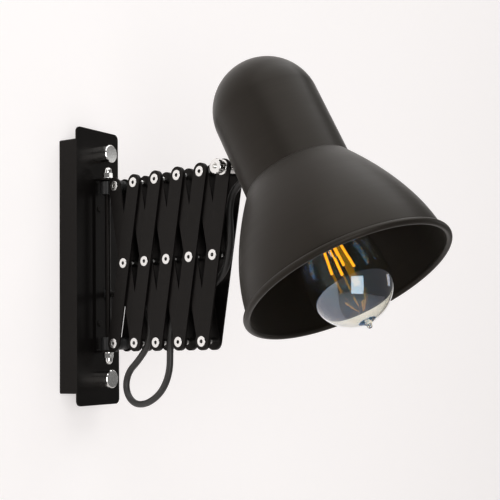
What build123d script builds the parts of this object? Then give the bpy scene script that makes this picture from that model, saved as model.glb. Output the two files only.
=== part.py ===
"""Accordion wall lamp: a scissor arm on a swivel rod carries a tilting bell shade.

The origin is the centre of the back face on the wall. The wall is the plane Y = 0, the
lamp reaches out along -Y, +Z is up and +X is to the right for someone facing the wall.
All lengths are in millimetres and all angles in degrees.
"""
import math
import os

from build123d import *

os.makedirs("parts", exist_ok=True)

# ---------------------------------------------------------------- wall box and plate
plate_overhang = 11.0
plate_width = 58.0
plate_thickness = 1.5
plate_corner_radius = 5.0
box_end_room = 4.8
box_width = 57.0
box_depth = 19.5
box_wall = 1.2
box_lip = 7.0
box_corner_radius = 1.5

# ---------------------------------------------------------------- strip on the wall
strip_width = 26.0
strip_thickness = 2.0
strip_end_margin = 7.5
strip_corner_radius = 3.0
wall_hole_pitch = 120.0
wall_hole_diameter = 4.5
cable_slot_length = 26.0
cable_slot_width = 12.0
cable_slot_height = 32.0
stud_clearance = 3.6566
stud_diameter = 5.0
stud_collar_diameter = 9.0
stud_collar_length = 2.0
stud_engagement = 10.0
cap_nut_diameter = 16.0
cap_nut_length = 16.3
cap_nut_edge = 0.6

# ---------------------------------------------------------------- fits
bore_clearance = 0.05
hole_clearance = 0.3
seat_play = 0.05
side_play = 0.1
face_play = 0.15

# ---------------------------------------------------------------- swivel rod and ears
rod_diameter = 5.0
rod_stand = 11.4
rod_thread_length = 7.5
bracket_width = 11.0
bracket_thickness = 1.8
ear_radius = 8.0
bend_radius = 1.5
bracket_rivet_diameter = 3.2
bracket_rivet_head = 6.0
bracket_rivet_head_height = 1.2
bracket_rivet_pitch = 104.0
washer_diameter = 9.6
washer_thickness = 0.8
dome_nut_flats = 8.0
dome_nut_hex_height = 4.4
dome_nut_dome_diameter = 7.4
dome_nut_height = 10.2

# ---------------------------------------------------------------- scissor arm
cell_count = 5
link_length = 143.0
link_width = 14.6
link_thickness = 1.5
layer_gap = 0.35
inner_layer = 5.05
first_pivot = 16.5
rest_angle = 10.88
folded_angle = 8.0
rest_swivel = 9.0
rivet_diameter = 4.2
rivet_bore = 3.1
rivet_head_diameter = 8.7
rivet_head_height = 0.75
rivet_head_edge = 0.25
spacer_diameter = 6.2

# ---------------------------------------------------------------- pivot blocks
block_height = 11.4
block_boss_diameter = 13.0
block_neck_width = 8.0
block_groove_depth = 0.5
block_groove_width = 0.7
block_groove_pitch = 1.5
block_groove_count = 3

# ---------------------------------------------------------------- tilt knuckle
tilt_screw_diameter = 5.0
tilt_head_diameter = 9.0
tilt_head_height = 3.5
tilt_head_edge = 0.6
tilt_socket_flats = 4.0
tilt_socket_depth = 2.0
tilt_nut_diameter = 12.6
tilt_nut_waist = 9.6
tilt_nut_flange = 2.2
tilt_nut_grip = 4.6
tilt_nut_height = 10.4
tilt_nut_flutes = 10
tilt_nut_flute_radius = 1.1
tilt_nut_open_depth = 3.0
knuckle_diameter = 13.0
stub_gap = 0.65
stub_diameter = 8.0
stub_inside = 9.0
lock_nut_flats = 13.0
lock_nut_height = 2.6
saddle_diameter = 17.0
saddle_thickness = 2.0

# ---------------------------------------------------------------- neck cup and bell
head_tilt = 28.5
neck_radius = 43.4
neck_wall = 1.0
crease_height = 93.8
stub_height = 142.6
dome_clearance = 8.5
bell_wall = 1.0
bell_rim_radius = 79.7
bell_curve = 1.75
collar_height = 6.0
bead_radius = 2.6
bead_offset = 1.5

# ---------------------------------------------------------------- lampholder
holder_strap_width = 16.0
holder_strap_thickness = 2.0
strap_nut_clearance = 0.5
strap_bush_clearance = 0.7
nipple_diameter = 10.0
nipple_nut_flats = 14.0
nipple_nut_height = 3.0
holder_shell_radius = 19.0
holder_shoulder_radius = 13.0
holder_length = 48.0
holder_shoulder = 10.0
holder_wall = 2.2
holder_ring_wall = 3.45
holder_ring_height = 7.0
holder_ring_count = 24
socket_inset = 1.0
socket_above_cap = 4.0

# ---------------------------------------------------------------- bulb
bulb_radius = 32.0
bulb_length = 140.0
bulb_seat_depth = 28.6
bulb_cap_length = 26.0
bulb_cap_radius = 13.2
bulb_cap_throat = 12.0
bulb_contact_radius = 4.5
bulb_neck_radius = 14.5
bulb_wall = 0.8
stem_radius = 5.5
stem_tip_radius = 3.85
stem_length = 34.0
stem_rod_radius = 1.6
stem_rod_length = 22.0
filament_radius = 1.0
filament_length = 36.0
filament_spread = 9.0
filament_count = 4
filament_clearance = 0.4
filament_overlap = 2.0

# ---------------------------------------------------------------- cord and wiring
cord_diameter = 5.8
exit_clearance = 0.7
cord_exit_z = -25.0
grommet_flange = 11.6
grommet_barrel = 8.6
grommet_flange_height = 2.2
terminal_length = 30.0
terminal_width = 16.0
terminal_height = 12.0
terminal_pitch = 9.0
terminal_tube_diameter = 5.0
terminal_screw_diameter = 3.0
earth_screw_diameter = 4.0
earth_screw_head = 8.0
earth_screw_height = 3.0

# ================================================================ derived places
plate_back = -box_depth
plate_front = plate_back - plate_thickness
rod_y = plate_front - rod_stand
cord_exit_x = bracket_width / 2 + grommet_flange / 2 + exit_clearance

outer_layer = inner_layer + link_thickness + layer_gap
outer_face = outer_layer + link_thickness
inner_face = inner_layer + link_thickness

half_rows = link_length * math.cos(math.radians(rest_angle)) / 2
cell_pitch = link_length * math.sin(math.radians(rest_angle))
folded_top = link_length * math.cos(math.radians(folded_angle)) - half_rows
lower_ear = -half_rows - block_height / 2 - face_play
upper_ear = folded_top + block_height / 2 + face_play
ear_outer_low = lower_ear - bracket_thickness
ear_outer_high = upper_ear + bracket_thickness

stud_z = ear_outer_high + washer_thickness + dome_nut_height + stud_clearance + cap_nut_diameter / 2
strip_height = 2 * (stud_z + strip_end_margin)
box_height = strip_height + 2 * box_end_room
plate_height = box_height + 2 * plate_overhang

swivel = math.radians(rest_swivel)
arm_plane = Plane(
    origin=(0, rod_y, 0),
    x_dir=(-math.sin(swivel), -math.cos(swivel), 0),
    z_dir=(-math.cos(swivel), math.sin(swivel), 0),
)


def arm_point(out, up, across=0.0):
    """The place that is `out` from the rod, `up` high and `across` towards the near side."""
    return arm_plane.from_local_coords(Vector(out, up, across))


def station(number, row):
    """The pivot of a row (1 top, 0 centre, -1 bottom) at a station, in the arm's plane."""
    return (first_pivot + number * cell_pitch, row * half_rows)


tilt = math.radians(head_tilt)
neck_standoff = knuckle_diameter / 2 + lock_nut_height + saddle_thickness + stub_gap
dome_start = stub_height + saddle_diameter / 2 + dome_clearance
holder_strap_height = (
    stub_height - lock_nut_flats / 2 - strap_nut_clearance - holder_strap_thickness
)
cord_entry_height = holder_strap_height - strap_bush_clearance - grommet_flange / 2
bead_centre_radius = bell_rim_radius + bead_offset
holder_ring_radius = holder_shell_radius + bore_clearance + holder_ring_wall
tilt_pivot = station(cell_count, 1)
stub_foot = tuple(
    at + (neck_standoff + neck_radius) * part
    for at, part in zip(tilt_pivot, (math.cos(tilt), math.sin(tilt)))
)
mouth = (
    stub_foot[0] + stub_height * math.sin(tilt),
    stub_foot[1] - stub_height * math.cos(tilt),
)
head_up = arm_plane.y_dir * math.cos(tilt) - arm_plane.x_dir * math.sin(tilt)
head_out = arm_plane.x_dir * math.cos(tilt) + arm_plane.y_dir * math.sin(tilt)
mouth_centre = arm_point(*mouth)
head_side = Plane(origin=mouth_centre, x_dir=head_out, z_dir=arm_plane.z_dir)
head_axis = Axis(mouth_centre, head_up)
head_level = Plane(origin=mouth_centre, x_dir=head_out, z_dir=head_up)
dome_top = dome_start + neck_radius


def head_point(radius, height, across=0.0):
    """The place at a radius away from the wall and a height above the shade's mouth."""
    return head_side.from_local_coords(Vector(radius, height, across))


def save(part, name):
    """Label a finished piece and write its file."""
    part.label = name
    export_step(part, f"parts/{name}.step")


def wall_plane(y):
    """A sketching plane parallel to the wall: its x is +X, its y is +Z, it looks at -Y."""
    return Plane(origin=(0, y, 0), x_dir=(1, 0, 0), z_dir=(0, -1, 0))


# ================================================================ wall assembly
stud_spots = [(0, stud_z), (0, -stud_z)]

with BuildPart() as wall_strip:
    with BuildSketch(wall_plane(0)):
        RectangleRounded(strip_width, strip_height, strip_corner_radius)
        with Locations((0, wall_hole_pitch / 2), (0, -wall_hole_pitch / 2)):
            Circle(wall_hole_diameter / 2, mode=Mode.SUBTRACT)
        with Locations(*stud_spots):
            Circle(stud_diameter / 2 + bore_clearance, mode=Mode.SUBTRACT)
        with Locations((0, cable_slot_height)):
            SlotOverall(cable_slot_length, cable_slot_width, rotation=90, mode=Mode.SUBTRACT)
    extrude(amount=strip_thickness)
save(wall_strip.part, "wall_strip")

stud_end = plate_front - stud_engagement
with BuildPart() as plate_studs:
    with BuildSketch(wall_plane(0)):
        with Locations(*stud_spots):
            Circle(stud_diameter / 2)
    extrude(amount=-stud_end)
    with BuildSketch(wall_plane(-strip_thickness)):
        with Locations(*stud_spots):
            Circle(stud_collar_diameter / 2)
    extrude(amount=stud_collar_length)
save(plate_studs.part, "plate_studs")

with BuildPart() as wall_box:
    with BuildSketch(wall_plane(0)):
        RectangleRounded(box_width, box_height, box_corner_radius)
        RectangleRounded(
            box_width - 2 * box_wall,
            box_height - 2 * box_wall,
            max(box_corner_radius - box_wall, 0.2),
            mode=Mode.SUBTRACT,
        )
    extrude(amount=box_depth)
    with BuildSketch(wall_plane(-box_depth + box_wall)):
        Rectangle(box_width - box_wall, box_height - box_wall)
        Rectangle(box_width - 2 * box_lip, box_height - 2 * box_lip, mode=Mode.SUBTRACT)
    extrude(amount=box_wall)
save(wall_box.part, "wall_box")

bracket_rivet_spots = [(0, bracket_rivet_pitch / 2), (0, -bracket_rivet_pitch / 2)]
with BuildPart() as front_plate:
    with BuildSketch(wall_plane(plate_back)):
        RectangleRounded(plate_width, plate_height, plate_corner_radius)
        with Locations(*stud_spots):
            Circle(stud_diameter / 2 + hole_clearance, mode=Mode.SUBTRACT)
        with Locations((cord_exit_x, cord_exit_z)):
            Circle(grommet_barrel / 2 + bore_clearance, mode=Mode.SUBTRACT)
        with Locations(*bracket_rivet_spots):
            Circle(bracket_rivet_diameter / 2 + bore_clearance, mode=Mode.SUBTRACT)
    extrude(amount=plate_thickness)
save(front_plate.part, "front_plate")

with BuildPart() as cap_nuts:
    with BuildSketch(wall_plane(plate_front)):
        with Locations(*stud_spots):
            Circle(cap_nut_diameter / 2)
    extrude(amount=cap_nut_length)
    chamfer(cap_nuts.faces().sort_by(Axis.Y)[:2].edges(), cap_nut_edge)
    with BuildSketch(wall_plane(plate_front)):
        with Locations(*stud_spots):
            Circle(stud_diameter / 2 + bore_clearance)
    extrude(amount=stud_engagement + side_play, mode=Mode.SUBTRACT)
save(cap_nuts.part, "cap_nuts")

bracket_mid = (ear_outer_high + ear_outer_low) / 2
bracket_height = ear_outer_high - ear_outer_low
with BuildPart() as hinge_bracket:
    with BuildSketch(wall_plane(plate_front)):
        with Locations((0, bracket_mid)):
            Rectangle(bracket_width, bracket_height)
        with Locations(*bracket_rivet_spots):
            Circle(bracket_rivet_diameter / 2 + bore_clearance, mode=Mode.SUBTRACT)
    extrude(amount=bracket_thickness)
    for ear_floor in (upper_ear, ear_outer_low):
        with BuildSketch(Plane.XY.offset(ear_floor)):
            with BuildLine():
                near_end = Line((-bracket_width / 2, plate_front), (bracket_width / 2, plate_front))
                right = Line(near_end @ 1, (ear_radius, rod_y))
                tip = RadiusArc(right @ 1, (-ear_radius, rod_y), ear_radius)
                Line(tip @ 1, near_end @ 0)
            make_face()
            with Locations((0, rod_y)):
                Circle(rod_diameter / 2 + bore_clearance, mode=Mode.SUBTRACT)
        extrude(amount=bracket_thickness)
    inner_bends = (
        hinge_bracket.edges()
        .filter_by(Axis.X)
        .filter_by_position(
            Axis.Y, plate_front - bracket_thickness - 0.01, plate_front - bracket_thickness + 0.01
        )
        .filter_by_position(Axis.Z, lower_ear - 0.01, upper_ear + 0.01)
    )
    fillet(inner_bends, bend_radius)
save(hinge_bracket.part, "hinge_bracket")

with BuildPart() as bracket_rivets:
    with BuildSketch(wall_plane(plate_back + bracket_rivet_head_height)):
        with Locations(*bracket_rivet_spots):
            Circle(bracket_rivet_head / 2)
    extrude(amount=bracket_rivet_head_height)
    with BuildSketch(wall_plane(plate_back)):
        with Locations(*bracket_rivet_spots):
            Circle(bracket_rivet_diameter / 2)
    extrude(amount=plate_thickness + bracket_thickness)
    with BuildSketch(wall_plane(plate_front - bracket_thickness)):
        with Locations(*bracket_rivet_spots):
            Circle(bracket_rivet_head / 2)
    extrude(amount=bracket_rivet_head_height, taper=25)
save(bracket_rivets.part, "bracket_rivets")

rod_low = ear_outer_low - washer_thickness - rod_thread_length
rod_high = ear_outer_high + washer_thickness + rod_thread_length
with BuildPart() as swivel_rod:
    with BuildSketch(Plane.XY.offset(rod_low)):
        with Locations((0, rod_y)):
            Circle(rod_diameter / 2)
    extrude(amount=rod_high - rod_low)
    chamfer(swivel_rod.edges().filter_by(GeomType.CIRCLE), 0.4)
save(swivel_rod.part, "swivel_rod")

with BuildPart() as rod_washers:
    for washer_floor in (ear_outer_high, ear_outer_low - washer_thickness):
        with BuildSketch(Plane.XY.offset(washer_floor)):
            with Locations((0, rod_y)):
                Circle(washer_diameter / 2)
                Circle(rod_diameter / 2 + bore_clearance, mode=Mode.SUBTRACT)
        extrude(amount=washer_thickness)
save(rod_washers.part, "rod_washers")


def add_dome_nut(base, direction):
    """One domed nut on the rod, its foot at a height and its dome up (1) or down (-1)."""
    foot = Plane(origin=(0, rod_y, base), x_dir=(1, 0, 0), z_dir=(0, 0, direction))
    side = Plane(origin=(0, rod_y, base), x_dir=(1, 0, 0), z_dir=(0, -direction, 0))
    dome_radius = dome_nut_dome_diameter / 2
    shoulder = dome_nut_height - dome_radius
    with BuildPart() as nut:
        with BuildSketch(foot):
            RegularPolygon(dome_nut_flats / 2, 6, major_radius=False)
        extrude(amount=dome_nut_hex_height)
        with BuildSketch(side):
            with BuildLine():
                up = Line((0, 0), (0, dome_nut_height))
                cap = RadiusArc(up @ 1, (dome_radius, shoulder), dome_radius)
                Polyline(cap @ 1, (dome_radius, 0), (0, 0))
            make_face()
        revolve(axis=Axis((0, rod_y, 0), (0, 0, 1)))
        with BuildSketch(foot):
            Circle(rod_diameter / 2 + bore_clearance)
        extrude(amount=rod_thread_length + side_play, mode=Mode.SUBTRACT)
    return nut.part


with BuildPart() as dome_nuts:
    add(add_dome_nut(ear_outer_high + washer_thickness, 1))
    add(add_dome_nut(ear_outer_low - washer_thickness, -1))
save(dome_nuts.part, "dome_nuts")


def grommet(seat, wall_thickness):
    """A flanged bush through a wall: its seat plane is on the wall's outer face."""
    with BuildPart() as bush:
        with BuildSketch(seat):
            Circle(grommet_flange / 2)
        extrude(amount=grommet_flange_height, taper=12)
        with BuildSketch(seat):
            Circle(grommet_barrel / 2)
        extrude(amount=-wall_thickness)
        with BuildSketch(seat.offset(-wall_thickness)):
            Circle(grommet_flange / 2)
        extrude(amount=-grommet_flange_height)
        with BuildSketch(seat.offset(grommet_flange_height)):
            Circle(cord_diameter / 2 + bore_clearance)
        extrude(amount=-2 * grommet_flange_height - wall_thickness, mode=Mode.SUBTRACT)
    return bush.part


with BuildPart() as wall_grommet:
    add(grommet(Plane(
        origin=(cord_exit_x, plate_front, cord_exit_z), x_dir=(1, 0, 0), z_dir=(0, -1, 0)
    ), plate_thickness))
save(wall_grommet.part, "wall_grommet")

terminal_z = -cord_exit_z
terminal_spots = [(0, -terminal_z + terminal_pitch * (row - 1)) for row in range(3)]
with BuildPart() as terminal_block:
    with BuildSketch(wall_plane(-strip_thickness)):
        with Locations((0, -terminal_z)):
            RectangleRounded(terminal_width, terminal_length, 1.5)
    extrude(amount=terminal_height)
    for _, height in terminal_spots:
        tube_plane = Plane(
            origin=(-terminal_width / 2, -strip_thickness - terminal_height / 2, height),
            x_dir=(0, 1, 0),
            z_dir=(1, 0, 0),
        )
        with BuildSketch(tube_plane):
            Circle(terminal_tube_diameter / 2 + bore_clearance)
        extrude(amount=terminal_width, mode=Mode.SUBTRACT)
        with BuildSketch(wall_plane(-strip_thickness - terminal_height)):
            with Locations((0, height)):
                Circle(terminal_screw_diameter / 2 + hole_clearance)
        extrude(amount=-terminal_height / 2, mode=Mode.SUBTRACT)
save(terminal_block.part, "terminal_block")

with BuildPart() as terminal_tubes:
    for _, height in terminal_spots:
        tube_plane = Plane(
            origin=(-terminal_width / 2 + 1, -strip_thickness - terminal_height / 2, height),
            x_dir=(0, 1, 0),
            z_dir=(1, 0, 0),
        )
        with BuildSketch(tube_plane):
            Circle(terminal_tube_diameter / 2)
            Circle(terminal_tube_diameter / 2 - 1, mode=Mode.SUBTRACT)
        extrude(amount=terminal_width - 2)
save(terminal_tubes.part, "terminal_tubes")

with BuildPart() as earth_screw:
    with BuildSketch(wall_plane(-strip_thickness)):
        with Locations((0, 0)):
            Circle(earth_screw_head / 2)
    extrude(amount=earth_screw_height)
    with BuildSketch(wall_plane(-strip_thickness - earth_screw_height)):
        Rectangle(earth_screw_head, 1)
    extrude(amount=-1.2, mode=Mode.SUBTRACT)
save(earth_screw.part, "earth_screw")


# ================================================================ pivot blocks
def pivot_block(height, half_length):
    """A black block that turns on the rod and carries the first pivot between the links."""
    boss_plane = Plane(origin=(0, rod_y, height - block_height / 2), x_dir=arm_plane.x_dir)
    with BuildPart() as block:
        with BuildSketch(boss_plane):
            Circle(block_boss_diameter / 2)
            with Locations((first_pivot / 2, 0)):
                Rectangle(first_pivot, block_neck_width)
        extrude(amount=block_height)
        with BuildSketch(arm_plane.offset(-half_length)):
            with Locations((first_pivot, height)):
                Circle(block_height / 2)
        extrude(amount=2 * half_length)
        for turn in range(block_groove_count):
            middle = half_length - block_groove_pitch * (turn + 1)
            for side in (-1, 1):
                with BuildSketch(arm_plane.offset(side * middle - block_groove_width / 2)):
                    with Locations((first_pivot, height)):
                        Circle(block_height)
                        Circle(block_height / 2 - block_groove_depth, mode=Mode.SUBTRACT)
                    with Locations((0, height)):
                        Rectangle(
                            2 * (first_pivot - block_height / 2), 4 * block_height, mode=Mode.SUBTRACT
                        )
                extrude(amount=block_groove_width, mode=Mode.SUBTRACT)
        with BuildSketch(arm_plane.offset(-half_length)):
            with Locations((first_pivot, height)):
                Circle(rivet_diameter / 2 + bore_clearance)
        extrude(amount=2 * half_length, mode=Mode.SUBTRACT)
        with BuildSketch(boss_plane):
            Circle(rod_diameter / 2 + bore_clearance)
        extrude(amount=block_height, mode=Mode.SUBTRACT)
    return block.part


with BuildPart() as lower_block:
    add(pivot_block(-half_rows, outer_layer - side_play))
save(lower_block.part, "lower_block")

with BuildPart() as upper_block:
    add(pivot_block(half_rows, inner_layer - side_play))
save(upper_block.part, "upper_block")


# ================================================================ links, rivets, spacers
def link_pair(name, layer, start, end, end_pin=rivet_diameter):
    """Two flat links with round ends and pivot holes, one in each half of the arm."""
    span = math.dist(start, end)
    slope = math.degrees(math.atan2(end[1] - start[1], end[0] - start[0]))
    middle = ((start[0] + end[0]) / 2, (start[1] + end[1]) / 2)
    holes = [start, middle] if span > link_length / 2 + link_width else [start]
    with BuildPart() as links:
        for floor in (layer, -layer - link_thickness):
            with BuildSketch(arm_plane.offset(floor)):
                with Locations(middle):
                    SlotCenterToCenter(span, link_width, rotation=slope)
                with Locations(*holes):
                    Circle(rivet_diameter / 2 + bore_clearance, mode=Mode.SUBTRACT)
                with Locations(end):
                    Circle(end_pin / 2 + bore_clearance, mode=Mode.SUBTRACT)
            extrude(amount=link_thickness)
    save(links.part, name)


def pivot_set(name, spots, grip, spaced=True):
    """Tubular rivets through both halves, each with its spacer tube between the links."""
    with BuildPart() as pins:
        with BuildSketch(arm_plane.offset(-grip - rivet_head_height)):
            with Locations(*spots):
                Circle(rivet_diameter / 2)
        extrude(amount=2 * (grip + rivet_head_height))
        for floor in (grip + seat_play, -grip - seat_play - rivet_head_height):
            with BuildSketch(arm_plane.offset(floor)):
                with Locations(*spots):
                    Circle(rivet_head_diameter / 2)
            extrude(amount=rivet_head_height)
        with BuildSketch(arm_plane.offset(-2 * grip)):
            with Locations(*spots):
                Circle(rivet_bore / 2)
        extrude(amount=4 * grip, mode=Mode.SUBTRACT)
        if spaced:
            with BuildSketch(arm_plane.offset(-inner_layer + side_play)):
                with Locations(*spots):
                    Circle(spacer_diameter / 2)
                    Circle(rivet_diameter / 2 + bore_clearance, mode=Mode.SUBTRACT)
            extrude(amount=2 * (inner_layer - side_play))
    save(pins.part, name)


for cell in range(cell_count):
    pin = tilt_screw_diameter if cell == cell_count - 1 else rivet_diameter
    link_pair(f"outer_links_{cell}", outer_layer, station(cell, -1), station(cell + 1, 1), pin)
    if cell < cell_count - 1:
        link_pair(f"inner_links_{cell}", inner_layer, station(cell, 1), station(cell + 1, -1))
        pivot_set(f"outer_pivots_{cell}", [station(cell + 0.5, 0), station(cell + 1, 1)], outer_face)
        pivot_set(f"inner_pivots_{cell}", [station(cell + 1, -1)], outer_face)
    else:
        link_pair("half_links", inner_layer, station(cell, 1), station(cell + 0.5, 0))
        pivot_set(f"outer_pivots_{cell}", [station(cell + 0.5, 0)], outer_face)

pivot_set("lower_rivet", [station(0, -1)], outer_face, spaced=False)
pivot_set("upper_rivet", [station(0, 1)], inner_face, spaced=False)

# ================================================================ tilt knuckle
grip_face = outer_face + seat_play
with BuildPart() as tilt_screw:
    with BuildSketch(arm_plane.offset(-grip_face)):
        with Locations(tilt_pivot):
            Circle(tilt_screw_diameter / 2)
    extrude(amount=2 * grip_face + tilt_nut_height - tilt_nut_open_depth)
    with BuildSketch(arm_plane.offset(-grip_face)):
        with Locations(tilt_pivot):
            Circle(tilt_head_diameter / 2)
    extrude(amount=-tilt_head_height)
    far_rim = tilt_screw.faces().sort_by(Axis(arm_point(0, 0), arm_plane.z_dir))[0]
    chamfer(far_rim.edges(), tilt_head_edge)
    with BuildSketch(arm_plane.offset(-grip_face - tilt_head_height)):
        with Locations(tilt_pivot):
            RegularPolygon(tilt_socket_flats / 2, 6, major_radius=False)
    extrude(amount=tilt_socket_depth, mode=Mode.SUBTRACT)
save(tilt_screw.part, "tilt_screw")

nut_side = Plane(
    origin=arm_plane.from_local_coords(Vector(*tilt_pivot, grip_face)),
    x_dir=arm_plane.x_dir,
    z_dir=-arm_plane.y_dir,
)
nut_front = arm_plane.offset(grip_face + tilt_nut_height)
with BuildPart() as tilt_nut:
    with BuildSketch(nut_side):
        with BuildLine():
            rim = tilt_nut_diameter / 2
            neck = tilt_nut_waist / 2
            flange_line = Polyline((0, 0), (rim, 0), (rim, tilt_nut_flange))
            waist = ThreePointArc(
                flange_line @ 1,
                (neck, (tilt_nut_flange + tilt_nut_height - tilt_nut_grip) / 2),
                (rim, tilt_nut_height - tilt_nut_grip),
            )
            Polyline(
                waist @ 1,
                (rim, tilt_nut_height - tilt_head_edge),
                (rim - tilt_head_edge, tilt_nut_height),
                (0, tilt_nut_height),
                (0, 0),
            )
        make_face()
    revolve(axis=Axis(nut_side.origin, arm_plane.z_dir))
    with BuildSketch(nut_front):
        with Locations(tilt_pivot):
            with PolarLocations(tilt_nut_diameter / 2 + tilt_nut_flute_radius / 2, tilt_nut_flutes):
                Circle(tilt_nut_flute_radius)
    extrude(amount=-tilt_nut_grip, mode=Mode.SUBTRACT)
    with BuildSketch(nut_front):
        with Locations(tilt_pivot):
            Circle(tilt_screw_diameter / 2 + bore_clearance)
    extrude(amount=-tilt_nut_height, mode=Mode.SUBTRACT)
save(tilt_nut.part, "tilt_nut")

stub_plane = Plane(origin=arm_point(*tilt_pivot), x_dir=head_up, z_dir=head_out)
with BuildPart() as knuckle:
    with BuildSketch(arm_plane.offset(-outer_layer + side_play)):
        with Locations(tilt_pivot):
            Circle(knuckle_diameter / 2)
    extrude(amount=2 * (outer_layer - side_play))
    with BuildSketch(stub_plane):
        Circle(stub_diameter / 2)
    extrude(amount=neck_standoff + neck_wall + stub_inside)
    with BuildSketch(arm_plane.offset(-outer_layer)):
        with Locations(tilt_pivot):
            Circle(tilt_screw_diameter / 2 + bore_clearance)
    extrude(amount=2 * outer_layer, mode=Mode.SUBTRACT)
save(knuckle.part, "knuckle")

neck_wall_outer = stub_plane.offset(neck_standoff)
with BuildPart() as saddle_washer:
    with BuildSketch(stub_plane.offset(neck_standoff - saddle_thickness)):
        Circle(saddle_diameter / 2)
        Circle(stub_diameter / 2 + bore_clearance, mode=Mode.SUBTRACT)
    extrude(amount=2 * saddle_thickness)
    with BuildSketch(head_level.offset(stub_height - saddle_diameter)):
        Circle(neck_radius + seat_play)
    extrude(amount=2 * saddle_diameter, mode=Mode.SUBTRACT)
save(saddle_washer.part, "saddle_washer")

with BuildPart() as lock_nut:
    with BuildSketch(stub_plane.offset(neck_standoff - saddle_thickness - lock_nut_height)):
        RegularPolygon(lock_nut_flats / 2, 6, major_radius=False)
        Circle(stub_diameter / 2 + bore_clearance, mode=Mode.SUBTRACT)
    extrude(amount=lock_nut_height)
save(lock_nut.part, "lock_nut")

# ================================================================ neck cup and bell
stub_through = neck_standoff + neck_wall
entry_plane = Plane(
    origin=head_point(-neck_radius, cord_entry_height), x_dir=head_up, z_dir=-head_out
)
neck_inner = neck_radius - neck_wall
with BuildPart() as neck_cup:
    with BuildSketch(head_side):
        with BuildLine():
            side_out = Line((neck_radius, crease_height), (neck_radius, dome_start))
            dome_out = RadiusArc(side_out @ 1, (0, dome_top), -neck_radius)
            top = Line(dome_out @ 1, (0, dome_top - neck_wall))
            dome_in = RadiusArc(top @ 1, (neck_inner, dome_start), neck_inner)
            Polyline(dome_in @ 1, (neck_inner, crease_height), side_out @ 0)
        make_face()
    revolve(axis=head_axis)
    with BuildSketch(stub_plane):
        Circle(stub_diameter / 2 + bore_clearance)
    extrude(amount=neck_standoff + 3 * neck_wall, mode=Mode.SUBTRACT)
    with BuildSketch(entry_plane.offset(neck_wall)):
        Circle(grommet_barrel / 2 + bore_clearance)
    extrude(amount=-4 * neck_wall, mode=Mode.SUBTRACT)
save(neck_cup.part, "neck_cup")


def bell_radius(height):
    """The bell's outer radius: full at the rim, falling ever faster to the neck's crease."""
    return neck_radius + (bell_rim_radius - neck_radius) * (
        1 - (height / crease_height) ** bell_curve
    )


bell_outer = [(bell_radius(crease_height * part), crease_height * part) for part in (1, 0.8, 0.6, 0)]


def inside(edge):
    """Three points of the wall's inner arc, one wall thickness in from its outer arc."""
    points = []
    for part in (0, 0.5, 1):
        along = edge % part
        points.append(edge @ part + Vector(along.Y, -along.X) * bell_wall)
    return points


collar_radius = neck_inner - side_play
with BuildPart() as bell_shade:
    with BuildSketch(head_side):
        with BuildLine():
            outer_high = ThreePointArc(*bell_outer[:3])
            outer_low = TangentArc(bell_outer[2], bell_outer[3], tangent=outer_high % 1)
            inner_high = ThreePointArc(*inside(outer_high))
            inner_low = ThreePointArc(*inside(outer_low))
            Line(outer_low @ 1, inner_low @ 1)
            Polyline(
                inner_high @ 0,
                (collar_radius - bell_wall, crease_height),
                (collar_radius - bell_wall, crease_height + collar_height),
                (collar_radius, crease_height + collar_height),
                (collar_radius, crease_height - seat_play),
                (neck_radius, crease_height - seat_play),
                outer_high @ 0,
            )
        make_face()
        with Locations((bead_centre_radius, 0)):
            Circle(bead_radius)
    revolve(axis=head_axis)
save(bell_shade.part, "bell_shade")

# ================================================================ lampholder
strap_outer = neck_inner - seat_play
strap_top = stub_height + holder_strap_width / 2
strap_drop = strap_outer - math.sqrt(strap_outer**2 - (holder_strap_width / 2) ** 2)
strap_face = strap_outer - strap_drop
with BuildPart() as holder_strap:
    with BuildSketch(head_side.offset(-holder_strap_width / 2)):
        with BuildLine():
            Polyline(
                (-strap_face, strap_top),
                (-strap_face + holder_strap_thickness, strap_top),
                (-strap_face + holder_strap_thickness, holder_strap_height + holder_strap_thickness),
                (holder_strap_width / 2, holder_strap_height + holder_strap_thickness),
                (holder_strap_width / 2, holder_strap_height),
                (-strap_face, holder_strap_height),
                close=True,
            )
        make_face()
    extrude(amount=holder_strap_width)
    with BuildSketch(head_level.offset(holder_strap_height)):
        Circle(nipple_diameter / 2 + bore_clearance)
    extrude(amount=holder_strap_thickness, mode=Mode.SUBTRACT)
    with BuildSketch(stub_plane):
        Circle(stub_diameter / 2 + bore_clearance)
    extrude(amount=neck_standoff + 2 * stub_inside, mode=Mode.SUBTRACT)
save(holder_strap.part, "holder_strap")

strap_reach = neck_standoff + neck_radius - strap_face + holder_strap_thickness
with BuildPart() as inner_nut:
    with BuildSketch(stub_plane.offset(strap_reach)):
        RegularPolygon(lock_nut_flats / 2, 6, major_radius=False, rotation=30)
        Circle(stub_diameter / 2 + bore_clearance, mode=Mode.SUBTRACT)
    extrude(amount=lock_nut_height)
save(inner_nut.part, "inner_nut")

holder_top = holder_strap_height
holder_mouth = holder_top - holder_length
nipple_top = holder_strap_height + holder_strap_thickness + nipple_nut_height + 2
with BuildPart() as holder_nipple:
    with BuildSketch(head_level.offset(holder_top - holder_shoulder)):
        Circle(nipple_diameter / 2)
        Circle(nipple_diameter / 2 - 1.5, mode=Mode.SUBTRACT)
    extrude(amount=nipple_top - holder_top + holder_shoulder)
save(holder_nipple.part, "holder_nipple")

with BuildPart() as nipple_nut:
    with BuildSketch(head_level.offset(holder_strap_height + holder_strap_thickness)):
        RegularPolygon(nipple_nut_flats / 2, 6, major_radius=False)
        Circle(nipple_diameter / 2 + bore_clearance, mode=Mode.SUBTRACT)
    extrude(amount=nipple_nut_height)
save(nipple_nut.part, "nipple_nut")

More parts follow.
